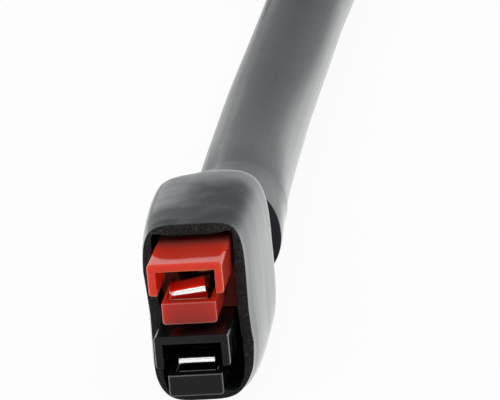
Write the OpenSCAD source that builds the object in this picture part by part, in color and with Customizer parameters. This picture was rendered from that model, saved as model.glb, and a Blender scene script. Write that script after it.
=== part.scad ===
// Power adapter cable: two single-pole hermaphroditic power connectors, stacked red over black and
// held in a heat-shrunk boot, on a round two-core cable that ends in a coaxial plug.
// Millimetres, +Z up. The mating faces look along -Y and the cable leaves along +Y, on the table at z = 0.
// Depths of the connector end are measured back from the mating face.

/* [Housing] */
// width and height of one housing, which is also the pitch of the pair
housing_w = 7.9; // [7.5:0.1:8.3]
// overall length of a housing
housing_len = 24.6; // [23:0.2:26]
// radius of the long outer edges
edge_r = 0.35; // [0.2:0.05:0.5]
// depth of the mating hood, back to the front wall of the body
hood_len = 9.6; // [9:0.1:10.2]
// thickness of the hood
hood_wall = 0.84; // [0.7:0.02:1]
// height of the hood's side walls
hood_drop = 3.4; // [3.1:0.1:3.6]
// how far the tongue starts behind the mating face
tongue_set = 0.65; // [0.4:0.05:0.9]
// height of the tongue's top above the housing's base
tongue_top = 3.4; // [3.1:0.1:3.6]
// side clearance of the tongue in another connector's hood
mate_side = 0.25; // [0.15:0.05:0.35]
// clearance under the tongue for another connector's hood
mate_under = 0.3; // [0.2:0.05:0.4]
// side walls of the tongue's trough
trough_side = 0.7; // [0.55:0.05:0.75]
// front lip of the trough
trough_lip = 1.5; // [1.2:0.1:1.8]
// floor under the trough
trough_floor = 0.8; // [0.6:0.05:1]
// room over the contact where it passes through the front wall
channel_over = 1; // [0.8:0.05:1.2]
// clearance of an insulated core in the rear bore
core_fit = 0.45; // [0.35:0.05:0.55]
// room in front of the crimp barrel at the bottom of the rear bore
bore_room = 1.6; // [1.2:0.1:2]
// rounding of the tongue's lower edges and of the hood's lower ends
lower_r = 0.35; // [0.2:0.05:0.4]
// width of the dovetail rails where they leave the housing
rail_w = 2.4; // [2:0.1:2.8]
// widening of a rail on each side at its top
rail_flare = 0.3; // [0.2:0.05:0.4]
// height of the rails
rail_h = 0.7; // [0.5:0.05:0.75]
// clearance of a rail in its groove
rail_fit = 0.08; // [0.05:0.01:0.12]
// start of the rails behind the body's front wall
rail_set = 4.4; // [4:0.2:5]
// diameter of the cross hole for a lock pin
lock_d = 2.4; // [2:0.1:2.8]
// place of the cross hole behind the mating face
lock_at = 18.4; // [17:0.2:20]

/* [Contacts] */
// clearance of the contact blade on each side in the trough
blade_fit = 0.36; // [0.3:0.01:0.45]
// thickness of the blade
blade_t = 0.9; // [0.8:0.05:1]
// front of the blade behind the mating face
blade_front = 2.75; // [2.6:0.05:3.2]
// how far the blade's top stands above the housing's middle
blade_rise = 0.15; // [0:0.05:0.3]
// outer radius of the bend at the blade's front
hook_r = 0.5; // [0.45:0.05:0.6]
// place of the snap crest behind the blade's front
crest_set = 1.6; // [1.4:0.05:1.8]
// height of the snap crest
crest_h = 0.5; // [0.4:0.05:0.6]
// height of the turned-down front
hook_drop = 1.5; // [1.3:0.05:1.6]
// diameter of the crimp barrel
barrel_d = 4.2; // [4:0.1:4.6]
// wall of the crimp barrel
barrel_wall = 0.6; // [0.5:0.05:0.7]
// length of the crimp barrel
barrel_len = 6.5; // [6:0.1:7]
// start of the barrel ahead of the housing's rear end
barrel_set = 10.6; // [10.2:0.1:11]
// how far the red contact sits turned in its housing, in degrees
red_roll = 8; // [0:1:9]
// how far the red contact's blade sits to the left
red_aside = 0.2; // [0:0.05:0.25]
// clearance of the leaf spring on each side in the trough
spring_fit = 0.56; // [0.4:0.02:0.7]
// thickness of the leaf spring
spring_t = 0.35; // [0.3:0.05:0.4]
// gap between the spring and the blade that it presses on
spring_gap = 0.05; // [0.02:0.01:0.08]

/* [Boot] */
// wall of the boot round the housings
boot_wall = 1.05; // [0.9:0.05:1.15]
// wall of the boot at its feathered rear end
boot_feather = 0.2; // [0.15:0.05:0.3]
// rim of the boot behind the mating face
rim_at = 6.6; // [5:0.2:7]
// room across between the rim and the housings
rim_gap = 0.9; // [0.8:0.05:1.1]
// room between the rim and the top and bottom of the housings
rim_room = 0.6; // [0.55:0.05:0.9]
// slant of the cut at the boot's mouth, back at the top
rim_lean = 0.12; // [0:0.01:0.16]
// share by which the boot's wall thins over the corners of its mouth
rim_thin = 0.6; // [0.5:0.05:0.7]
// widest part of the boot behind the housings' rear end
belly_past = 1.4; // [0.8:0.1:2.4]
// room across at the widest part
belly_gap = 2.7; // [2.6:0.1:3]
// height of the boot's middle above the housings' joint
boot_rise = 0.45; // [0.4:0.01:0.5]
// narrowest part of the boot behind its widest part
waist_past = 8; // [7.6:0.2:9]
// room round the two cores in the waist
waist_gap = 0.7; // [0.4:0.1:1]
// how far the boot grips the cable's jacket
boot_over = 11.5; // [9:0.5:14]

/* [Cable] */
// diameter of the cable
cable_d = 10.4; // [9.8:0.1:10.8]
// diameter of an insulated core
core_d = 4.3; // [4:0.1:4.6]
// end of the jacket behind the boot's narrowest part
jacket_past = 4.5; // [4.3:0.1:5.4]
// drop of the jacket's end below the joint of the housings
jacket_drop = 0.8; // [0.6:0.05:0.9]
// clearance between the jacket and the boot
jacket_fit = 0.08; // [0.06:0.01:0.12]

/* [Plug] */
// diameter of the plug's grip
grip_d = 12.6; // [12:0.1:13.6]
// length of the grip
grip_len = 21; // [18:0.5:24]
// diameter of the strain relief
relief_d = 11.4; // [11:0.1:11.8]
// length of the strain relief
relief_len = 13; // [11:0.5:15]
// depth of the grooves in the strain relief
relief_cut = 0.7; // [0.4:0.1:0.8]
// outside diameter of the plug's sleeve
sleeve_d = 7.9; // [7.4:0.1:8.1]
// wall of the sleeve
sleeve_wall = 0.6; // [0.4:0.05:0.7]
// free length of the sleeve
sleeve_out = 10; // [9:0.5:11]
// length of the sleeve inside the grip
sleeve_in = 5; // [4:0.5:7]
// how much slimmer the sleeve is inside the grip, on its radius
sleeve_step = 0.2; // [0.1:0.05:0.25]
// chamfer round the sleeve's front end
sleeve_nose = 0.25; // [0.1:0.05:0.35]
// wall of the insulating liner in the sleeve
liner_wall = 0.6; // [0.5:0.05:0.8]
// diameter of the centre pin
tip_d = 1; // [0.8:0.1:1.4]
// how far the centre pin stops short of the sleeve's end
tip_short = 1; // [0.5:0.1:2]

/* [Hidden] */
$fn = 48;

// housing
tongue_w = housing_w - 2 * (hood_wall + mate_side);
tongue_low = hood_wall + mate_under;
trough_w = tongue_w - 2 * trough_side;
trough_z = tongue_low + trough_floor;
wire_bore = core_d + 2 * core_fit;
barrel_at = housing_len - barrel_set;
bore_at = barrel_at - bore_room;
mid = housing_w / 2;
blade_w = trough_w - 2 * blade_fit;
spring_w = trough_w - 2 * spring_fit;
blade_low = blade_rise - blade_t;
core_at = barrel_at + barrel_len + 0.6;

// boot: depth, width, height, offset across, offset up, squareness of the top and of the bottom, wall
belly_at = housing_len + belly_past;
waist_at = belly_at + waist_past;
jacket_at = waist_at + jacket_past;
boot_end = jacket_at + boot_over;
rim_w = housing_w + 2 * boot_wall + rim_gap;
rim_h = 2 * housing_w + 2 * boot_wall + rim_room;
belly_w = housing_w + 2 * boot_wall + belly_gap;
belly_h = rim_h + 1;
waist_w = core_d + 2 * (boot_wall + waist_gap);
waist_h = 2 * (core_d + boot_wall + waist_gap) + 1.9;
crest_d = cable_d + 2 * (jacket_fit + 2 * boot_feather);
tail_d = cable_d + 2 * (jacket_fit + boot_feather);
pair_x = 0.25;
pair_z = belly_h / 2 - boot_rise;
shape = [
    [rim_at, rim_w, rim_h, pair_x - 0.05, boot_rise - 0.12, 4.6, 3.8, boot_wall],
    [hood_len + 0.4, belly_w - 1.1, belly_h - 0.25, pair_x - 0.15, boot_rise - 0.12, 5.2, 5.2, boot_wall],
    [hood_len + 4.4, belly_w - 0.6, belly_h - 0.1, pair_x - 0.25, boot_rise - 0.05, 5.2, 5.2, boot_wall],
    [belly_at, belly_w, belly_h - 0.1, -0.25, boot_rise - 0.05, 4.6, 6, boot_wall],
    [belly_at + 4, belly_w - 1.1, belly_h - 1.9, -0.15, boot_rise - 0.1, 3.4, 3.4, boot_wall],
    [waist_at, waist_w, waist_h, 0.05, boot_rise - 0.55, 2.4, 2.4, boot_wall],
    [waist_at + 1.6, waist_w + 0.8, cable_d + 2.2, 0.1, -0.6 * jacket_drop, 2, 2, boot_wall - 0.05],
    [jacket_at - 0.6, crest_d, crest_d + 0.2, 0.05, -jacket_drop, 2, 2, 2 * boot_feather],
    [boot_end, tail_d, tail_d, -0.25, -jacket_drop - 0.15, 2, 2, boot_feather]];

// cable: from the jacket's end in the boot, down to the table, round a bend and into the plug
tail_y = 25;
route = [[0.05, tail_y - boot_over, pair_z - jacket_drop],
    [-0.25, tail_y, pair_z - jacket_drop - 0.15], [-0.8, 35, pair_z - jacket_drop - 0.4],
    [-1.7, 55, cable_d / 2 + 1.7], [-2.35, 75, cable_d / 2 + 0.9],
    [-2.75, 100, cable_d / 2 + 0.2], [-2.9, 120, cable_d / 2 + 0.05],
    [-3.1, 144.4, cable_d / 2 + 0.05], [-7.5, 159.9, cable_d / 2 + 0.05],
    [-15.8, 171.5, cable_d / 2 + 0.15], [-27.4, 179.5, cable_d / 2 + 0.5],
    [-41.4, 183.2, grip_d / 2], [-57, 183.2, grip_d / 2]];
plug_at = route[len(route) - 1];
root_r = sleeve_d / 2 - sleeve_step;

// smooth curve through the values of column c of a table whose first column rises
function rise(t, k, c) = (t[k + 1][c] - t[k][c]) / (t[k + 1][0] - t[k][0]);
function slope(t, k, c) = k == 0 || k == len(t) - 1 ? 0
    : let (a = rise(t, k - 1, c), b = rise(t, k, c)) a * b <= 0 ? 0 : 2 * a * b / (a + b);
function span(t, s, k = 0) = k == len(t) - 2 || s < t[k + 1][0] ? k : span(t, s, k + 1);
function value(t, s, c) = let (
        k = span(t, s),
        h = t[k + 1][0] - t[k][0],
        u = (s - t[k][0]) / h)
    t[k][c] * (1 + 2 * u) * pow(1 - u, 2) + t[k + 1][c] * u * u * (3 - 2 * u)
    + h * u * (1 - u) * (slope(t, k, c) * (1 - u) - slope(t, k + 1, c) * u);

// smooth curve through route points
function bend(p, k, u) = let (
        a = p[max(k - 1, 0)],
        b = p[k],
        c = p[k + 1],
        d = p[min(k + 2, len(p) - 1)])
    0.5 * (2 * b + (c - a) * u + (2 * a - 5 * b + 4 * c - d) * u * u
    + (3 * b - a - 3 * c + d) * u * u * u);
function smooth(p, n) = [for (k = [0 : len(p) - 2]) for (i = [0 : n - 1]) bend(p, k, i / n),
    p[len(p) - 1]];
function unit(v) = v / norm(v);

// closed mesh over rings of points that all have the same count, in order round and along
function strip(a, b, n) = [for (j = [0 : n - 1]) [a + j, a + (j + 1) % n, b + (j + 1) % n, b + j]];

// a bar along Y between two depths, from a flat outline in X and Z
module along(from, to) {
    translate([0, to, 0])
        rotate([90, 0, 0])
            linear_extrude(to - from) children();
}

// a plate of a given width, from a flat outline in Y and Z
module across(width) {
    translate([-width / 2, 0, 0])
        rotate([90, 0, 90])
            linear_extrude(width) children();
}

// puts the connector end's depths and heights into the shared frame
module placed(up = 0) {
    translate([pair_x, tail_y - boot_end, pair_z + up]) children();
}

// one square housing's outline with rounded corners, standing on z = 0
module outline() {
    translate([-mid + edge_r, 0])
        square([housing_w - 2 * edge_r, housing_w]);
    translate([-mid, edge_r])
        square([housing_w, housing_w - 2 * edge_r]);
    for (x = [-1, 1])
        for (z = [edge_r, housing_w - edge_r])
            translate([x * (mid - edge_r), z])
                circle(edge_r);
}

// what a rounding takes off a corner up and to the right of its middle
module corner() {
    difference() {
        square(lower_r + 1);
        circle(lower_r);
    }
}

// dovetail standing on the line z = 0, drawn with a margin and a root below the line
module dovetail(margin, root) {
    half = rail_w / 2 + margin;
    polygon([[-half, -root], [half, -root], [half, 0], [half + rail_flare, rail_h + margin],
        [-half - rail_flare, rail_h + margin], [-half, 0]]);
}

module housing() {
    rail_from = hood_len + rail_set;
    difference() {
        union() {
            along(hood_len, housing_len) outline();
            // hood: the top and the upper part of the sides
            along(0, hood_len + 0.5) difference() {
                outline();
                translate([-mid + hood_wall, -1])
                    square([housing_w - 2 * hood_wall, housing_w - hood_wall + 1]);
                translate([-mid - 1, -1])
                    square([housing_w + 2, housing_w - hood_drop + 1]);
                for (x = [-1, 1])
                    translate([x * (mid - lower_r), housing_w - hood_drop + lower_r])
                        rotate(x < 0 ? 180 : 270) corner();
            }
            // tongue
            along(tongue_set, hood_len + 0.5) difference() {
                translate([-tongue_w / 2, tongue_low])
                    square([tongue_w, tongue_top - tongue_low]);
                for (x = [-1, 1])
                    translate([x * (tongue_w / 2 - lower_r), tongue_low + lower_r])
                        rotate(x < 0 ? 180 : 270) corner();
            }
            // rails on the top and on the left
            along(rail_from, housing_len) translate([0, housing_w])
                dovetail(0, 0.2);
            along(rail_from, housing_len) translate([-mid, mid])
                rotate(90) dovetail(0, 0.2);
        }
        // trough of the tongue, which runs on through the front wall to the rear bore
        translate([-trough_w / 2, tongue_set + trough_lip, trough_z])
            cube([trough_w, bore_at + 0.6 - tongue_set - trough_lip,
                mid + blade_rise + channel_over - trough_z]);
        translate([0, bore_at, mid])
            rotate([-90, 0, 0])
                cylinder(d = wire_bore, h = housing_len - bore_at + 1);
        // grooves in the base and on the right, for the rails of another housing
        along(rail_from - 0.3, housing_len + 1) translate([0, 0])
            dovetail(rail_fit, 1);
        along(rail_from - 0.3, housing_len + 1) translate([mid, mid])
            rotate(90) dovetail(rail_fit, 1);
        // cross holes for a lock pin, half in each of two neighbours
        for (z = [0, housing_w])
            translate([-mid - 2, lock_at, z])
                rotate([0, 90, 0])
                    cylinder(d = lock_d, h = housing_w + 4);
    }
}

// contact with its wire axis on z = 0
module contact(aside = 0) {
    bore = barrel_d - 2 * barrel_wall;
    neck = 0.6 * barrel_d;
    web_at = barrel_at - 2.4;
    crest_at = blade_front + crest_set;
    crest = blade_rise + crest_h;
    difference() {
        union() {
            translate([-aside, 0, 0]) across(blade_w) {
                translate([blade_front + hook_r, blade_rise - hook_r])
                    circle(hook_r);
                polygon([[blade_front + hook_r, blade_rise], [crest_at - 0.15, crest],
                    [crest_at + 0.15, crest], [crest_at + 2 * crest_h, blade_rise],
                    [web_at, blade_rise], [web_at, blade_low], [blade_front + blade_t, blade_low],
                    [blade_front + blade_t, blade_rise - hook_drop],
                    [blade_front, blade_rise - hook_drop], [blade_front, blade_rise - hook_r]]);
            }
            across(neck)
                polygon([[web_at - 0.5, blade_rise], [web_at - 0.5, blade_low], [web_at, blade_low],
                    [barrel_at, -barrel_d / 2 + 0.1], [barrel_at + 0.4, -barrel_d / 2 + 0.1],
                    [barrel_at + 0.4, -bore / 2], [web_at + 0.4, blade_rise]]);
            translate([0, barrel_at, 0])
                rotate([-90, 0, 0])
                    cylinder(d = barrel_d, h = barrel_len);
        }
        translate([0, barrel_at, 0])
            rotate([-90, 0, 0])
                cylinder(d = bore, h = barrel_len + 1);
    }
}

// leaf spring under a blade that is turned by roll degrees
module spring(roll) {
    floor_z = trough_z - mid;
    tip_z = blade_low - spring_gap - blade_w / 2 * sin(roll);
    tip_at = blade_front + blade_t + 0.35;
    foot_at = hood_len - 1.6;
    across(spring_w)
        polygon([[tip_at, tip_z], [tip_at, tip_z - spring_t], [foot_at, floor_z],
            [bore_at + 0.2, floor_z], [bore_at + 0.2, floor_z + spring_t], [foot_at, floor_z + spring_t]]);
}

module strands() {
    translate([0, barrel_at + 0.4, 0])
        rotate([-90, 0, 0])
            cylinder(d = barrel_d - 2 * barrel_wall, h = core_at - barrel_at - 0.4);
}

// round tube through points, with its end faces square to the directions given for its ends
module tube(points, d, sides, leaves, arrives) {
    last = len(points) - 1;
    rings = [for (i = [0 : last])
        let (
            t = i == 0 ? leaves : i == last ? arrives : unit(points[i + 1] - points[i - 1]),
            side = unit(cross(t, [0, 0, 1])),
            up = cross(side, t))
        for (j = [0 : sides - 1])
            points[i] + d / 2 * (cos(360 * j / sides) * side + sin(360 * j / sides) * up)];
    polyhedron(rings, concat(
        [[for (j = [0 : sides - 1]) sides - 1 - j]],
        [for (i = [0 : last - 1]) each strip(i * sides, (i + 1) * sides, sides)],
        [[for (j = [0 : sides - 1]) last * sides + j]]), convexity = 6);
}

// insulated core from its crimp to the jacket's end, on the red side for up = 1 and the black for -1
module core(up) {
    end = [route[0][0] - pair_x, jacket_at, route[0][2] - pair_z + up * (core_d / 2 + 0.15)];
    start = [0, core_at, up * mid];
    bent = [start, start + [0, 1.5, 0], start + [0, housing_len - core_at, 0], end - [0, 5, 0],
        end - [0, 1, 0], end];
    tube(smooth(bent, 3), core_d, 16, [0, 1, 0], [0, 1, 0]);
}

// one point of the boot's wall at a depth and an angle round it, a distance in from the outside
function skin(s, a, deep) = let (
        n = value(shape, s, sin(a) >= 0 ? 5 : 6),
        w = value(shape, s, 1) / 2,
        h = value(shape, s, 2) / 2,
        cu = pow(abs(cos(a)), 2 / n) * sign(cos(a)),
        cv = pow(abs(sin(a)), 2 / n) * sign(sin(a)),
        out = unit([pow(abs(cu), n - 1) * sign(cu) / w, pow(abs(cv), n - 1) * sign(cv) / h]),
        near = max(0, 1 - (s - rim_at) / 10),
        wall = deep * (1 - 2 * rim_thin * near * abs(out[0] * out[1])),
        z = value(shape, s, 4) + h * cv - wall * out[1])
    [value(shape, s, 3) + w * cu - wall * out[0], s + tail_y - boot_end + rim_lean * near * z, pair_z + z];

module red_housing() {
    color([0.75, 0.13, 0.1])
        placed() housing();
}

module black_housing() {
    color([0.06, 0.06, 0.07])
        placed(-housing_w) housing();
}

module red_contact() {
    color([0.85, 0.85, 0.86])
        placed(mid) rotate([0, -red_roll, 0]) contact(red_aside);
}

module black_contact() {
    color([0.85, 0.85, 0.86])
        placed(-mid) contact();
}

module red_spring() {
    color([0.6, 0.6, 0.6])
        placed(mid) spring(red_roll);
}

module black_spring() {
    color([0.6, 0.6, 0.6])
        placed(-mid) spring(0);
}

module red_strands() {
    color([0.72, 0.45, 0.3])
        placed(mid) strands();
}

module black_strands() {
    color([0.72, 0.45, 0.3])
        placed(-mid) strands();
}

module red_core() {
    color([0.7, 0.1, 0.1])
        placed() core(1);
}

module black_core() {
    color([0.08, 0.08, 0.08])
        placed() core(-1);
}

module boot() {
    n = 40;
    depths = [for (i = [0 : 21]) rim_at + (waist_at - rim_at) * i / 22,
        for (i = [0 : 7]) waist_at + (jacket_at - waist_at) * i / 8,
        for (i = [0 : 6]) jacket_at + (boot_end - jacket_at) * i / 6];
    steps = len(depths) - 1;
    outer = [for (s = depths) for (j = [0 : n - 1]) skin(s, 360 * j / n, 0)];
    inner = [for (s = depths) for (j = [0 : n - 1]) skin(s, 360 * j / n, value(shape, s, 7))];
    m = len(outer);
    flip = function (f) [for (k = [len(f) - 1 : -1 : 0]) f[k]];
    color([0.1, 0.1, 0.1])
        polyhedron(concat(outer, inner), concat(
            strip(m, 0, n),
            [for (i = [0 : steps - 1]) each strip(i * n, (i + 1) * n, n)],
            [for (i = [0 : steps - 1]) for (f = strip(m + i * n, m + (i + 1) * n, n)) flip(f)],
            strip(steps * n, m + steps * n, n)), convexity = 8);
}

module cable() {
    color([0.12, 0.12, 0.13])
        tube(smooth(route, 4), cable_d, 12, [0, 1, 0], [-1, 0, 0]);
}

// places a piece on the plug's axis, which runs from the end of the cable along -X
module on_plug(from = 0) {
    translate(plug_at)
        rotate([0, -90, 0])
            translate([0, 0, from]) children();
}

module plug_grip() {
    color([0.1, 0.1, 0.11])
        on_plug() difference() {
            rotate_extrude()
                polygon([[0, 0], [relief_d / 2, 0], [relief_d / 2, relief_len],
                    [grip_d / 2 - 0.5, relief_len], [grip_d / 2, relief_len + 1],
                    [grip_d / 2, relief_len + grip_len - 1.2],
                    [grip_d / 2 - 1.2, relief_len + grip_len], [0, relief_len + grip_len]]);
            for (k = [1 : 3])
                translate([0, 0, relief_len * k / 4 - 0.7])
                    difference() {
                        cylinder(d = relief_d + 1, h = 1.4);
                        cylinder(d = relief_d - 2 * relief_cut, h = 1.4);
                    }
            translate([0, 0, relief_len + grip_len - sleeve_in])
                cylinder(r = root_r, h = sleeve_in + 1);
        }
}

module plug_sleeve() {
    wall_r = sleeve_d / 2;
    hollow_r = wall_r - sleeve_wall;
    end = sleeve_in + sleeve_out;
    color([0.75, 0.75, 0.76])
        on_plug(relief_len + grip_len - sleeve_in)
            rotate_extrude()
                polygon([[hollow_r, 0], [root_r, 0], [root_r, sleeve_in], [wall_r, sleeve_in],
                    [wall_r, end - sleeve_nose], [wall_r - sleeve_nose, end], [hollow_r, end]]);
}

module plug_liner() {
    lined = sleeve_d - 2 * sleeve_wall;
    color([0.08, 0.08, 0.09])
        on_plug(relief_len + grip_len - sleeve_in) difference() {
            cylinder(d = lined, h = sleeve_in + sleeve_out - 0.3);
            translate([0, 0, sleeve_in])
                cylinder(d = lined - 2 * liner_wall, h = sleeve_out + 1);
            translate([0, 0, -1])
                cylinder(d = tip_d, h = sleeve_in + 2);
        }
}

module plug_tip() {
    color([0.78, 0.66, 0.35])
        on_plug(relief_len + grip_len - sleeve_in)
            cylinder(d = tip_d, h = sleeve_in + sleeve_out - tip_short);
}

red_housing();
black_housing();
red_contact();
black_contact();
red_spring();
black_spring();
red_strands();
black_strands();
red_core();
black_core();
boot();
cable();
plug_grip();
plug_sleeve();
plug_liner();
plug_tip();
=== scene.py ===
from collections import namedtuple
from math import copysign, cos, pi, radians, sin

import bmesh
import bpy
from mathutils import Matrix, Vector


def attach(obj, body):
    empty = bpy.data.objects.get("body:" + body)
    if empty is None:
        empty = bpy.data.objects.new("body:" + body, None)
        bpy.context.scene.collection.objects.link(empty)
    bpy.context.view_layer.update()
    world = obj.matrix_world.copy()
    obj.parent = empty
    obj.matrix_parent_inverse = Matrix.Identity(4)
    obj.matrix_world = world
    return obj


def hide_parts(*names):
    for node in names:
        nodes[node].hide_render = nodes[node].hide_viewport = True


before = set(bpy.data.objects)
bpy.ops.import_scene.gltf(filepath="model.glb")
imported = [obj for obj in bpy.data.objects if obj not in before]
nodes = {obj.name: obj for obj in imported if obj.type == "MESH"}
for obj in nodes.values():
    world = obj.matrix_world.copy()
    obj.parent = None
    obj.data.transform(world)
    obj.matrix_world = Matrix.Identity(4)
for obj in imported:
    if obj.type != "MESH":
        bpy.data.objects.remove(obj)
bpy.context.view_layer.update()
scene = bpy.context.scene
scene.view_settings.view_transform = "Standard"
MM = 0.001


# Places on the part in millimetres: X runs across, Y back from the mating faces, Z up from the table.

def reach(node, axis):
    """Lowest and highest place of a node's solid along an axis."""
    places = [vert.co["XYZ".index(axis)] / MM for vert in nodes[node].data.vertices]
    return round(min(places), 2), round(max(places), 2)


FACE = reach("red_housing", "Y")[0]
BLACK_BASE = reach("black_housing", "Z")[0]
RED_BASE = reach("red_housing", "Z")[0]
PITCH = RED_BASE - BLACK_BASE
MIDDLE = sum(reach("red_contact", "X")) / 2


# Camera: a long lens a little above and to the right of the mating faces, fitted to the photograph.

SENSOR = 36
LENS = 432
EYE = (0.088167, -0.614502, 0.196558)
EYE_RIGHT = Vector((0.99011, 0.1092, -0.08806))
EYE_UP = Vector((0.05332, 0.2877, 0.95623))


def place_camera():
    eye = bpy.data.objects.new("camera", bpy.data.cameras.new("camera"))
    scene.collection.objects.link(eye)
    eye.data.sensor_fit = "HORIZONTAL"
    eye.data.sensor_width = SENSOR
    eye.data.lens = LENS
    eye.data.clip_start = 0.01
    eye.data.clip_end = 50
    turn = Matrix((EYE_RIGHT, EYE_UP, EYE_RIGHT.cross(EYE_UP))).transposed().to_4x4()
    eye.matrix_world = Matrix.Translation(EYE) @ turn
    scene.camera = eye


# Materials. A Wire is one socket's value in a node tree, and sums on wires add Math nodes.

class Wire:
    def __init__(self, tree, socket=None):
        self.tree = tree
        self.socket = socket

    def node(self, kind, settings=None, sockets=None, out=0):
        made = self.tree.nodes.new(kind)
        for name, value in (settings or {}).items():
            setattr(made, name, value)
        for name, value in (sockets or {}).items():
            if isinstance(value, Wire):
                self.tree.links.new(value.socket, made.inputs[name])
            else:
                made.inputs[name].default_value = value
        return Wire(self.tree, made.outputs[out])

    def reckon(self, operation, a, b):
        return self.node("ShaderNodeMath", {"operation": operation}, {0: a, 1: b})

    def __add__(self, other):
        return self.reckon("ADD", self, other)

    __radd__ = __add__

    def __sub__(self, other):
        return self.reckon("SUBTRACT", self, other)

    def __rsub__(self, other):
        return self.reckon("SUBTRACT", other, self)

    def __mul__(self, other):
        return self.reckon("MULTIPLY", self, other)

    __rmul__ = __mul__

    def __lt__(self, other):
        return self.reckon("LESS_THAN", self, other)

    def __gt__(self, other):
        return self.reckon("GREATER_THAN", self, other)

    def __or__(self, other):
        return self.reckon("MAXIMUM", self, other)

    def between(self, low, high):
        """1 where this value lies between two others, and 0 elsewhere."""
        return (self > low) * (self < high)

    def ramp(self, low, high):
        """0 below low, 1 above high, smooth between them."""
        return self.node("ShaderNodeMapRange", {"interpolation_type": "SMOOTHSTEP"}, {
            "Value": self, "From Min": low, "From Max": high})

    def mix(self, a, b):
        """From colour a to colour b as this value goes from 0 to 1."""
        return self.node("ShaderNodeMix", {"data_type": "RGBA"}, {0: self, 6: a, 7: b}, 2)

    def along(self, axis):
        """Place along an axis of the part, in millimetres."""
        where = self.node("ShaderNodeTexCoord", out="Object")
        return self.node("ShaderNodeSeparateXYZ", None, {0: where}, axis) * (1 / MM)

    def noise(self, size, detail=3, rough=0.5, stretch=(1, 1, 1)):
        """Cloudy values from 0 to 1 with features of about that size in millimetres."""
        where = self.node("ShaderNodeTexCoord", out="Object")
        where = self.node("ShaderNodeVectorMath", {"operation": "MULTIPLY"}, {0: where, 1: stretch})
        return self.node("ShaderNodeTexNoise", None, {
            "Vector": where, "Scale": 1 / (size * MM), "Detail": detail, "Roughness": rough})

    def edge(self, width):
        """1 on edges of that rounding in millimetres, where this value is 1 or the edge faces sideways."""
        rounded = self.node("ShaderNodeBevel", {"samples": 8}, {"Radius": width * MM})
        flat = self.node("ShaderNodeNewGeometry", out="True Normal")
        turned = 1 - self.node(
            "ShaderNodeVectorMath", {"operation": "DOT_PRODUCT"}, {0: rounded, 1: flat}, "Value")
        side = self.node("ShaderNodeSeparateXYZ", None, {0: rounded}, "X")
        return turned.ramp(0.01, 0.12) * (self | (side * side).ramp(0.05, 0.4))

    def bump(self, height, edge=0):
        """Surface normal over this relief, its full height and the rounding of edges in millimetres."""
        sockets = {"Height": self, "Distance": height * MM, "Strength": 1}
        if edge:
            sockets["Normal"] = self.node("ShaderNodeBevel", {"samples": 6}, {"Radius": edge * MM})
        return self.node("ShaderNodeBump", None, sockets)


def colour(r, g, b):
    return (r, g, b, 1)


def looks(name, recipe, **fixed):
    """Material from a recipe that returns the sockets that vary over the surface, and a share of a matte
    shader in a painted-shade colour.
    """
    made = bpy.data.materials.new(name)
    made.use_nodes = True
    tree = made.node_tree
    shader = tree.nodes["Principled BSDF"]
    for socket, value in fixed.items():
        shader.inputs[socket.replace("_", " ")].default_value = value
    varying = recipe(Wire(tree))
    share, shade = varying.pop("Matte", (None, None))
    for socket, wire in varying.items():
        tree.links.new(wire.socket, shader.inputs[socket])
    if share:
        glossy = Wire(tree, shader.outputs[0])
        matte = share.node("ShaderNodeBsdfDiffuse", None, {"Color": shade})
        both = share.node("ShaderNodeMixShader", None, {0: share, 1: glossy, 2: matte})
        tree.links.new(both.socket, tree.nodes["Material Output"].inputs["Surface"])
    return made


# Zones of a housing: depths behind the mating face, levels above its base, distances from its middle.

TONGUE_FRONT = (0.5, 0.8)
TONGUE_EDGES = 1
TONGUE_LEVELS = (0.9, 3.5)
TONGUE_TOP = 3.7
TROUGH_START = 2
TROUGH_LEVELS = (1.3, 3.3)
TROUGH_HALF = 2.35
OUTSIDE = 3.39
# Painted shade: the hood's inside darkens between these depths, the trough is darkened too, and beyond the
# wall depths a dark matte sheet covers the body's wall.
HOOD_SHADE = (4.8, 8.6)
WALL_SHADE = (8.8, 9.3)


def moulded(shade, flow, spark, edges, inside):
    """Glossy plastic: faint flow marks, painted highlights on the edges, a spark-finished front of the tongue,
    painted shade inside.
    """
    def recipe(w):
        cloud = w.noise(2.5, 4)
        grain = w.noise(0.09, 2)
        aside = w.along("X") - MIDDLE
        depth = w.along("Y") - FACE
        up = w.along("Z")
        level = up - (up > RED_BASE) * PITCH - BLACK_BASE
        sparked = depth.between(*TONGUE_FRONT) * level.between(*TONGUE_LEVELS)
        trough = level.between(*TROUGH_LEVELS) * aside.between(-TROUGH_HALF, TROUGH_HALF)
        trough = trough * (depth > TROUGH_START)
        tongue = (depth < TONGUE_EDGES) * (level < TONGUE_TOP) * 0.6
        outside = aside * aside > OUTSIDE ** 2
        body = sparked.mix(cloud.ramp(0.35, 0.7).mix(shade, flow), spark)
        # Painted highlight: a pale colour on the rounded edges of the tongue and of the outer walls.
        body = (tongue.edge(0.3) * (outside | tongue) * 0.8).mix(body, edges)
        return {
            # Painted shade: darker deep in the hood and in the trough, and the matte share paints the body's
            # wall dark.
            "Base Color": (depth.ramp(*HOOD_SHADE) | trough).mix(body, inside),
            "Roughness": 0.05 + cloud * 0.06 + sparked * 0.35,
            "Normal": (grain * sparked + cloud * 0.35).bump(0.012, 0.22),
            "Matte": (depth.ramp(*WALL_SHADE), inside),
        }
    return recipe


def plated(shade, worn, lines, rough=0.12):
    """Bright plated metal with rolling lines along one axis."""
    def recipe(w):
        streak = w.noise(0.12, 3, 0.6, lines)
        patch = w.noise(0.8, 3)
        return {
            "Base Color": (patch.ramp(0.45, 0.75) * 0.6).mix(shade, worn),
            "Roughness": rough + streak * 0.08 + patch * 0.04,
            "Normal": streak.bump(0.004, 0.06),
        }
    return recipe


# Zones of the boot and the cable, from where each starts to where it is full, and the way of the cable's axis.

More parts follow.
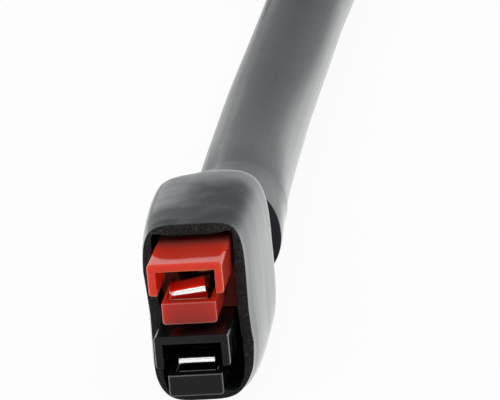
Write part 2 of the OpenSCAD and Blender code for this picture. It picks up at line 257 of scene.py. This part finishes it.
SHOULDERS = (3, 6)
RUBBED_LEFT = (-14, -5)
RUBBED_SIDE = (-5, 1.5)
RUBBED_BACK = (-5, 1)
CLEAN_STRETCH = (25, 50)
TOP_HEIGHTS = (17, 18.9)
SHOULDER_HEIGHTS = (13, 16)
SHOULDER_SIDE = -2
CABLE_TOP_HEIGHTS = (2.5, 4.9)
CABLE_FLANK = (-1.2, -0.2)
# Painted shade: a dark matte sheet in the recess between the boot and the jacket's end, slanting back higher
# up.
RECESS_FRONT = (8, 10.5)
RECESS_BACK = (9.4, 9.95)
RECESS_SLANT = 0.35
RECESS_LOW = 9
RECESS_SHADE = colour(0.026, 0.027, 0.031)
AXIS_X = -0.25
AXIS_X_RUN = (25, 120)
AXIS_X_SHIFT = -2.65
AXIS_Z = 8.45
AXIS_Z_RUN = (15, 105)
AXIS_Z_DROP = 3.2
LEAN_RUN = (20, 45)
LEAN_BOOT = 0.46
LEAN_LOST = 0.25
FAR_LEAN_RUN = (40, 90)
FAR_LEAN = 0.17


def shrunk(shade, bloom, glossy, dusty):
    """Shrunk or extruded skin: glossy sides, dusty top, ripples on the boot and painted shade, a dark matte
    sheet, in the recess behind it.
    """
    def recipe(w):
        cloud = w.noise(3.2, 5, 0.6)
        grain = w.noise(0.16, 3)
        drawn = w.noise(0.5, 3, 0.6, (1, 0.06, 1))
        ripple = w.noise(7, 2, 0.5, (1, 1, 0.15))
        across, back, up = (w.along(axis) for axis in "XYZ")
        aside = across - AXIS_X - back.ramp(*AXIS_X_RUN) * AXIS_X_SHIFT
        lean = aside * (LEAN_BOOT - back.ramp(*LEAN_RUN) * LEAN_LOST)
        lean = lean + (aside | 0) * back.ramp(*FAR_LEAN_RUN) * FAR_LEAN
        over = up - (AXIS_Z - back.ramp(*AXIS_Z_RUN) * AXIS_Z_DROP) + lean
        tail = back.ramp(*SHOULDERS)
        boot = 1 - tail
        rubbed = (1 - across.ramp(*RUBBED_SIDE)) * back.ramp(*RUBBED_LEFT) | back.ramp(*RUBBED_BACK)
        boot_top = up.ramp(*TOP_HEIGHTS) * (1 - rubbed)
        cable_top = tail * over.ramp(*CABLE_TOP_HEIGHTS) * (0.74 + back.ramp(*CLEAN_STRETCH) * 0.26)
        left_shoulder = up.ramp(*SHOULDER_HEIGHTS) * (across < SHOULDER_SIDE) * 0.25
        left_flank = tail * (1 - lean.ramp(*CABLE_FLANK)) * 0.55
        dust = boot_top | cable_top | left_shoulder | left_flank
        uneven = boot * cloud.ramp(0.3, 0.7) * 0.12
        # Painted shade in the recess behind the boot.
        slanted = back - (up | RECESS_LOW) * RECESS_SLANT
        recess = back.ramp(*RECESS_FRONT) * (1 - slanted.ramp(*RECESS_BACK))
        return {
            "Base Color": (cloud.ramp(0.35, 0.75) * 0.7 + grain * 0.3).mix(shade, bloom),
            "Roughness": glossy + dust * (dusty - glossy + uneven) + drawn * 0.05,
            "Normal": (grain * 0.06 + drawn * 0.12 + (cloud * 0.4 + ripple * 14) * boot).bump(0.012),
            "Matte": (recess, RECESS_SHADE),
        }
    return recipe


def cut_edge(shade, fleck):
    """Cut end of the shrink tube: dull, finely torn and flecked."""
    def recipe(w):
        torn = w.noise(0.16, 4, 0.7)
        speck = w.noise(0.085, 2, 0.6)
        return {
            "Base Color": speck.ramp(0.52, 0.7).mix(shade, fleck),
            "Roughness": 0.55 + torn * 0.25,
            "Normal": torn.bump(0.06),
        }
    return recipe


def dull(shade, other, size, rough, relief):
    """Plain moulded or extruded surface with slight variation."""
    def recipe(w):
        cloud = w.noise(size * 12, 4)
        grain = w.noise(size, 3)
        return {
            "Base Color": (cloud * 0.6 + grain * 0.4).mix(shade, other),
            "Roughness": rough - 0.06 + cloud * 0.12,
            "Normal": grain.bump(relief),
        }
    return recipe


# The edges colours are painted highlights, and the inside colours are painted shade.
RED = looks(
    "red plastic", moulded(
        shade=colour(0.63, 0.031, 0.011), flow=colour(0.61, 0.037, 0.017), spark=colour(0.4, 0.03, 0.022),
        edges=colour(0.85, 0.3, 0.25), inside=colour(0.26, 0.045, 0.038)),
    Specular_IOR_Level=0.28, Subsurface_Weight=1.0, Subsurface_Radius=(1, 0.3, 0.25), Subsurface_Scale=0.008)
BLACK = looks(
    "black plastic", moulded(
        shade=colour(0.005, 0.0052, 0.0056), flow=colour(0.008, 0.0084, 0.009),
        spark=colour(0.006, 0.0063, 0.0075), edges=colour(0.6, 0.61, 0.62),
        inside=colour(0.005, 0.0052, 0.006)),
    Specular_IOR_Level=0.18)
LINES_BACK = (1, 0.05, 1)
LINES_ACROSS = (0.05, 1, 1)
SILVER = looks("silver plate", plated(
    colour(0.97, 0.965, 0.95), colour(0.92, 0.91, 0.89), LINES_BACK, 0.03), Metallic=1.0)
STEEL = looks("spring steel", plated(
    colour(0.3, 0.25, 0.17), colour(0.24, 0.2, 0.14), LINES_BACK, 0.3), Metallic=1.0)
COPPER = looks("copper strands", plated(
    colour(0.75, 0.38, 0.22), colour(0.6, 0.28, 0.15), (1, 0.08, 1)), Metallic=1.0)
NICKEL = looks("nickel plate", plated(
    colour(0.72, 0.7, 0.66), colour(0.64, 0.62, 0.58), LINES_ACROSS), Metallic=1.0)
GOLD = looks("gold flash", plated(
    colour(0.8, 0.6, 0.28), colour(0.72, 0.52, 0.24), LINES_ACROSS), Metallic=1.0)
COOL = colour(0.8, 0.96, 1)
SHRINK = looks(
    "shrink tube", shrunk(
        shade=colour(0.012, 0.016, 0.0195), bloom=colour(0.017, 0.0218, 0.0258), glossy=0.08, dusty=0.39),
    Specular_IOR_Level=0.8, Specular_Tint=COOL)
CUT = looks("cut shrink tube", cut_edge(
    colour(0.007, 0.007, 0.0073), colour(0.1, 0.097, 0.09)), Specular_IOR_Level=0.15)
JACKET = looks(
    "cable jacket", shrunk(
        shade=colour(0.0075, 0.012, 0.016), bloom=colour(0.011, 0.016, 0.0205), glossy=0.1, dusty=0.41),
    Specular_IOR_Level=0.32, Specular_Tint=COOL,
    Sheen_Weight=0.5, Sheen_Roughness=0.2, Sheen_Tint=colour(0.95, 0.99, 1))
GRIP = looks("plug plastic", dull(
    colour(0.017, 0.0172, 0.018), colour(0.025, 0.0252, 0.026), size=0.2, rough=0.48, relief=0.03))
RED_CORE = looks("red insulation", dull(
    colour(0.5, 0.03, 0.02), colour(0.42, 0.025, 0.018), size=0.3, rough=0.45, relief=0.02))
BLACK_CORE = looks("black insulation", dull(
    colour(0.02, 0.02, 0.02), colour(0.03, 0.03, 0.03), size=0.3, rough=0.45, relief=0.02))


# Pieces.

def piece(bm, name, finishes, stands_for, crease=30):
    """Makes a placed mesh into a piece of the part, smooth but for its edges of more than crease degrees."""
    for face in bm.faces:
        face.smooth = True
    for edge in bm.edges:
        edge.smooth = len(edge.link_faces) == 2 and edge.calc_face_angle() < radians(crease)
    mesh = bpy.data.meshes.new(name)
    bm.to_mesh(mesh)
    bm.free()
    for finish in finishes:
        mesh.materials.append(finish)
    made = bpy.data.objects.new(name, mesh)
    scene.collection.objects.link(made)
    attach(made, "root")
    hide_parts(stands_for)
    return made


def copy_of(node):
    """The node's solid as one closed mesh with whole flat faces."""
    bm = bmesh.new()
    bm.from_mesh(nodes[node].data)
    bmesh.ops.remove_doubles(bm, verts=bm.verts, dist=1e-6)
    bmesh.ops.dissolve_limit(bm, angle_limit=radians(0.5), verts=bm.verts, edges=bm.edges)
    return bm


def round_off(bm, edges, width):
    """Rounds edges, width in millimetres."""
    bmesh.ops.bevel(bm, geom=edges, offset=width * MM, offset_type="OFFSET", segments=3,
                    profile=0.5, affect="EDGES", material=-1, clamp_overlap=True)


def housing(node, finish):
    return piece(copy_of(node), node + "_moulding", [finish], node)


# How the blades and their springs sit: turned, set back and set aside, and where they stay as they are.

SEATS = (("red", (radians(8), 1.2, -0.31)), ("black", (0, 2.05, -0.31)))
BARREL_SIDE = -13.3
NOSE_LENGTH = 0.52
NOSE_ROUND = 0.6


def contact(node, finish, seat, wider, round_nose):
    """Contact or spring, its front set back and aside in its trough and wider by a share."""
    roll, back, aside = seat
    bm = copy_of(node)
    front = [v for v in bm.verts if v.co.y < BARREL_SIDE * MM]
    tip = min(v.co.y for v in front)
    nose = {v for v in front if v.co.y < tip + NOSE_LENGTH * MM}
    up = Vector((-sin(roll), 0, cos(roll)))
    over = Vector((cos(roll), 0, sin(roll)))
    middle = sum(v.co.dot(over) for v in front) / len(front)
    top = max(v.co.dot(up) for v in nose)
    shift = Vector((aside, back, 0)) * MM
    for vert in front:
        drop = top - vert.co.dot(up)
        share = (BARREL_SIDE * MM - vert.co.y) / (BARREL_SIDE * MM - tip)
        if round_nose and vert in nose and drop < NOSE_ROUND * MM:
            vert.co -= up * drop
        vert.co += shift * share + over * (vert.co.dot(over) - middle) * wider
    return piece(bm, node + "_finished", [finish], node)


# Shrink tube: its stations behind the mating face. Top and bottom say how square it is there.

Station = namedtuple("Station", "depth width height aside raised top bottom wall")
STATIONS = [
    Station(6.6, 10.9, 18.72, 0.2, 0.44, 5.6, 4, 1.22),
    Station(10, 11.6, 19.17, 0.1, 0.29, 5, 4.6, 1.12),
    Station(14, 12.1, 19.25, 0, 0.325, 5, 5.2, 1.05),
    Station(26, 12.7, 19.4, -0.25, 0.4, 4.4, 4.2, 1.05),
    Station(30, 11.6, 17.6, -0.15, 0.35, 3.4, 3.4, 1.05),
    Station(34, 7.8, 14, 0.05, -0.1, 2.4, 2.4, 1.05),
    Station(35.6, 8.6, 12.6, 0.1, -0.48, 2, 2, 1),
    Station(37.9, 11.36, 11.56, 0.05, -0.8, 2, 2, 0.4),
    Station(50, 10.7, 10.7, -0.25, -0.95, 2, 2, 0.12)]
MOUTH = STATIONS[0].depth
TAIL = STATIONS[-1].depth
MOUTH_STRETCH = 10
MOUTH_TILT = 0.12
CORNER_THINNING = 1.2
LEFT_BEND = 0.44
LEFT_BENDS = (5.2, 1.6)
LEFT_EASES = (-3, -6.5)
RIGHT_BEND = 0.31
RIGHT_BENDS = (-1, -2.9)
RIGHT_EASES = (-5.4, -8.2)
SAG = 1.6
SAG_DEPTH = 23
SAG_STRETCH = 14
RIM_ROUND = 0.16
POINTS_AROUND = 96
STEPS_ALONG = 112
INSIDE_STRIDE = 4


def slope(k, size):
    """How fast a size changes at a station, with no overshoot between stations."""
    if k in (0, len(STATIONS) - 1):
        return 0
    before, after = (
        (getattr(b, size) - getattr(a, size)) / (b.depth - a.depth)
        for a, b in (STATIONS[k - 1:k + 1], STATIONS[k:k + 2]))
    return 0 if before * after <= 0 else 2 * before * after / (before + after)


def value(s, size):
    """A size of the tube at a depth, on a smooth curve through the stations."""
    k = max(i for i in range(len(STATIONS) - 1) if i == 0 or s >= STATIONS[i].depth)
    a, b = STATIONS[k:k + 2]
    h = b.depth - a.depth
    u = (s - a.depth) / h
    return (getattr(a, size) * (1 + 2 * u) * (1 - u) ** 2 + getattr(b, size) * u * u * (3 - 2 * u)
            + h * u * (1 - u) * (slope(k, size) * (1 - u) - slope(k + 1, size) * u))


def step(x, low, high):
    """0 at low, 1 at high, smooth between them."""
    u = min(1, max(0, (x - low) / (high - low)))
    return u * u * (3 - 2 * u)


def bend(left, z):
    """How far the mouth's side is bent to the right at a height from the joint of the housings."""
    if left:
        return LEFT_BEND * step(z, *LEFT_BENDS) * (1 - 0.5 * step(z, *LEFT_EASES))
    return RIGHT_BEND * step(z, *RIGHT_BENDS) * (1 - step(z, *RIGHT_EASES))


def skin(s, turn, deep):
    """Point of the tube's wall at a depth and an angle round it, a distance in from the outside."""
    across, up = cos(turn), sin(turn)
    n = value(s, "top" if up >= 0 else "bottom")
    w, h = value(s, "width") / 2, value(s, "height") / 2
    cu = copysign(abs(across) ** (2 / n), across)
    cv = copysign(abs(up) ** (2 / n), up)
    out_x = copysign(abs(cu) ** (n - 1), cu) / w
    out_z = copysign(abs(cv) ** (n - 1), cv) / h
    out = Vector((out_x, out_z)).normalized()
    near = max(0, 1 - (s - MOUTH) / MOUTH_STRETCH)
    deep *= 1 - CORNER_THINNING * near * abs(out[0] * out[1])
    z = value(s, "raised") + h * cv - deep * out[1]
    bent = near * abs(cu) * bend(cu < 0, z)
    slump = max(0, 1 - ((s - SAG_DEPTH) / SAG_STRETCH) ** 2) * max(0, -cu) * (1 + cu) * max(0, cv)
    z -= SAG * slump
    x = value(s, "aside") + w * cu - deep * out[0] + bent
    return Vector((x, s + FACE + MOUTH_TILT * near * z, z + RED_BASE)) * MM


def shrink_tube():
    """Drawn as one ring of edges that runs up the inside, over the cut front and back outside."""
    bm = bmesh.new()
    turn = bm.verts.layers.float.new("turn")
    ring = bmesh.ops.create_circle(bm, cap_ends=False, segments=POINTS_AROUND, radius=1)["verts"]
    for j, vert in enumerate(ring):
        vert[turn] = 2 * pi * j / POINTS_AROUND
    depths = [MOUTH + (TAIL - MOUTH) * i / STEPS_ALONG for i in range(STEPS_ALONG + 1)]
    stops = [(s, value(s, "wall")) for s in depths[::-INSIDE_STRIDE]] + [(s, 0) for s in depths]
    rims = []
    for k, (s, deep) in enumerate(stops):
        if k:
            drawn = bmesh.ops.extrude_edge_only(bm, edges=edges)["geom"]
            ring = [g for g in drawn if isinstance(g, bmesh.types.BMVert)]
        for vert in ring:
            vert.co = skin(s, vert[turn], deep)
        fresh = set(ring)
        edges = [e for e in bm.edges if fresh.issuperset(e.verts)]
        if s == depths[0]:
            rims += edges
    first = {v for v in bm.verts if v.is_boundary and v not in fresh}
    bmesh.ops.bridge_loops(bm, edges=edges + [e for e in bm.edges if first.issuperset(e.verts)])
    bmesh.ops.recalc_face_normals(bm, faces=bm.faces)
    mouth = {v for e in rims for v in e.verts}
    for face in bm.faces:
        face.material_index = int(mouth.issuperset(face.verts))
    round_off(bm, rims, RIM_ROUND)
    return piece(bm, "shrink_boot", [SHRINK, CUT], "boot", 60)


# Cable, along listed points, in metres.

CABLE_DIAMETER = 0.0104
ROUTE = [
    (0.00005, 0.0135, 0.0085), (-0.00025, 0.025, 0.00835), (-0.0008, 0.035, 0.0081),
    (-0.0017, 0.055, 0.0069), (-0.00235, 0.075, 0.0061), (-0.00275, 0.1, 0.0054),
    (-0.0029, 0.12, 0.00525), (-0.0031, 0.1444, 0.00525), (-0.0075, 0.1599, 0.00525),
    (-0.0158, 0.1715, 0.00535), (-0.0274, 0.1795, 0.0057), (-0.0414, 0.1832, 0.0063),
    (-0.057, 0.1832, 0.0063)]


def cable():
    curve = bpy.data.curves.new("cable_jacket", "CURVE")
    curve.dimensions = "3D"
    curve.resolution_u = 12
    curve.bevel_depth = CABLE_DIAMETER / 2
    curve.bevel_resolution = 10
    curve.use_fill_caps = True
    line = curve.splines.new("BEZIER")
    line.bezier_points.add(len(ROUTE) - 1)
    for k, point in enumerate(line.bezier_points):
        pull = (Vector(ROUTE[min(k + 1, len(ROUTE) - 1)]) - Vector(ROUTE[max(k - 1, 0)])) / 6
        point.handle_left_type = point.handle_right_type = "FREE"
        point.co = ROUTE[k]
        point.handle_left = point.co - pull
        point.handle_right = point.co + pull
    curve.materials.append(JACKET)
    made = bpy.data.objects.new("cable_jacket", curve)
    scene.collection.objects.link(made)
    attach(made, "root")
    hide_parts("cable")
    return made


def plug_part(node, finish, width):
    """Piece of the plug with its sharp edges rounded, width in millimetres."""
    bm = copy_of(node)
    sharp = [e for e in bm.edges if len(e.link_faces) == 2 and e.calc_face_angle() > radians(40)]
    round_off(bm, sharp, width)
    return piece(bm, node + "_finished", [finish], node, 35)


# Studio: pale floor, white surroundings that are darker high up in reflections, and a soft lamp in front.

FLOOR_HALF = 30
FLOOR_GAP = 0.0001
FLOOR_SHADE = colour(0.9, 0.9, 0.9)
FLOOR_WHITE = 0.94
WHITE = colour(1, 1, 1)
SKY_LIGHT = 0.7
SKY_MIRRORED = 0.97
SKY_DIMMED = 0.85
SKY_RISE = (0.25, 0.5)
LAMP_PLACE = (-0.1, -0.95, 0.95)
LAMP_AIM = (0, 0, 0.01)
LAMP_SIZE = (1.4, 0.9)
LAMP_POWER = 5.5


def rays(w):
    """1 on camera rays, on mirrored rays and on rays through clear material."""
    kinds = ("Is Camera Ray", "Is Glossy Ray", "Is Transmission Ray")
    return [w.node("ShaderNodeLightPath", out=kind) for kind in kinds]


def floor():
    mesh = bpy.data.meshes.new("floor")
    bm = bmesh.new()
    bmesh.ops.create_grid(bm, x_segments=1, y_segments=1, size=FLOOR_HALF)
    bm.to_mesh(mesh)
    bm.free()
    ground = bpy.data.objects.new("floor", mesh)
    ground.location.z = -FLOOR_GAP
    scene.collection.objects.link(ground)
    paper = bpy.data.materials.new("floor paper")
    paper.use_nodes = True
    tree = paper.node_tree
    tree.nodes.remove(tree.nodes["Principled BSDF"])
    w = Wire(tree)
    camera, mirror, clear = rays(w)
    sheet = w.node("ShaderNodeBsdfDiffuse", None, {"Color": FLOOR_SHADE})
    white = w.node("ShaderNodeEmission", None, {"Color": WHITE, "Strength": 1.0})
    seen = (camera | mirror | clear) * FLOOR_WHITE
    shown = w.node("ShaderNodeMixShader", None, {0: seen, 1: sheet, 2: white})
    tree.links.new(shown.socket, tree.nodes["Material Output"].inputs["Surface"])
    mesh.materials.append(paper)


def surroundings():
    world = bpy.data.worlds.new("studio")
    scene.world = world
    world.use_nodes = True
    tree = world.node_tree
    w = Wire(tree)
    camera, mirror, clear = rays(w)
    rise = w.node("ShaderNodeSeparateXYZ", None, {0: w.node("ShaderNodeTexCoord", out="Generated")}, "Z")
    mirrored = SKY_MIRRORED - rise.ramp(*SKY_RISE) * SKY_DIMMED
    level = camera | clear | mirror * mirrored | (1 - mirror) * SKY_LIGHT
    sky = tree.nodes["Background"]
    sky.inputs["Color"].default_value = WHITE
    tree.links.new(level.socket, sky.inputs["Strength"])


def front_lamp():
    lamp = bpy.data.objects.new("front lamp", bpy.data.lights.new("front lamp", "AREA"))
    lamp.data.shape = "RECTANGLE"
    lamp.data.size, lamp.data.size_y = LAMP_SIZE
    lamp.data.energy = LAMP_POWER
    lamp.visible_camera = False
    lamp.location = LAMP_PLACE
    lamp.rotation_euler = (Vector(LAMP_AIM) - lamp.location).to_track_quat("-Z", "Y").to_euler()
    scene.collection.objects.link(lamp)


place_camera()
lead = cable()
grip = plug_part("plug_grip", GRIP, width=0.4)
sleeve = plug_part("plug_sleeve", NICKEL, width=0.08)
liner = plug_part("plug_liner", GRIP, width=0.08)
tip = plug_part("plug_tip", GOLD, width=0.2)
housing("red_housing", RED)
housing("black_housing", BLACK)
for side, seat in SEATS:
    contact(side + "_contact", SILVER, seat, wider=0.06, round_nose=True)
for side, seat in SEATS:
    contact(side + "_spring", STEEL, seat, wider=0, round_nose=False)
shrink_tube()
for node, finish in (("red_strands", COPPER), ("black_strands", COPPER),
                     ("red_core", RED_CORE), ("black_core", BLACK_CORE)):
    nodes[node].data.materials.clear()
    nodes[node].data.materials.append(finish)
floor()
surroundings()
front_lamp()
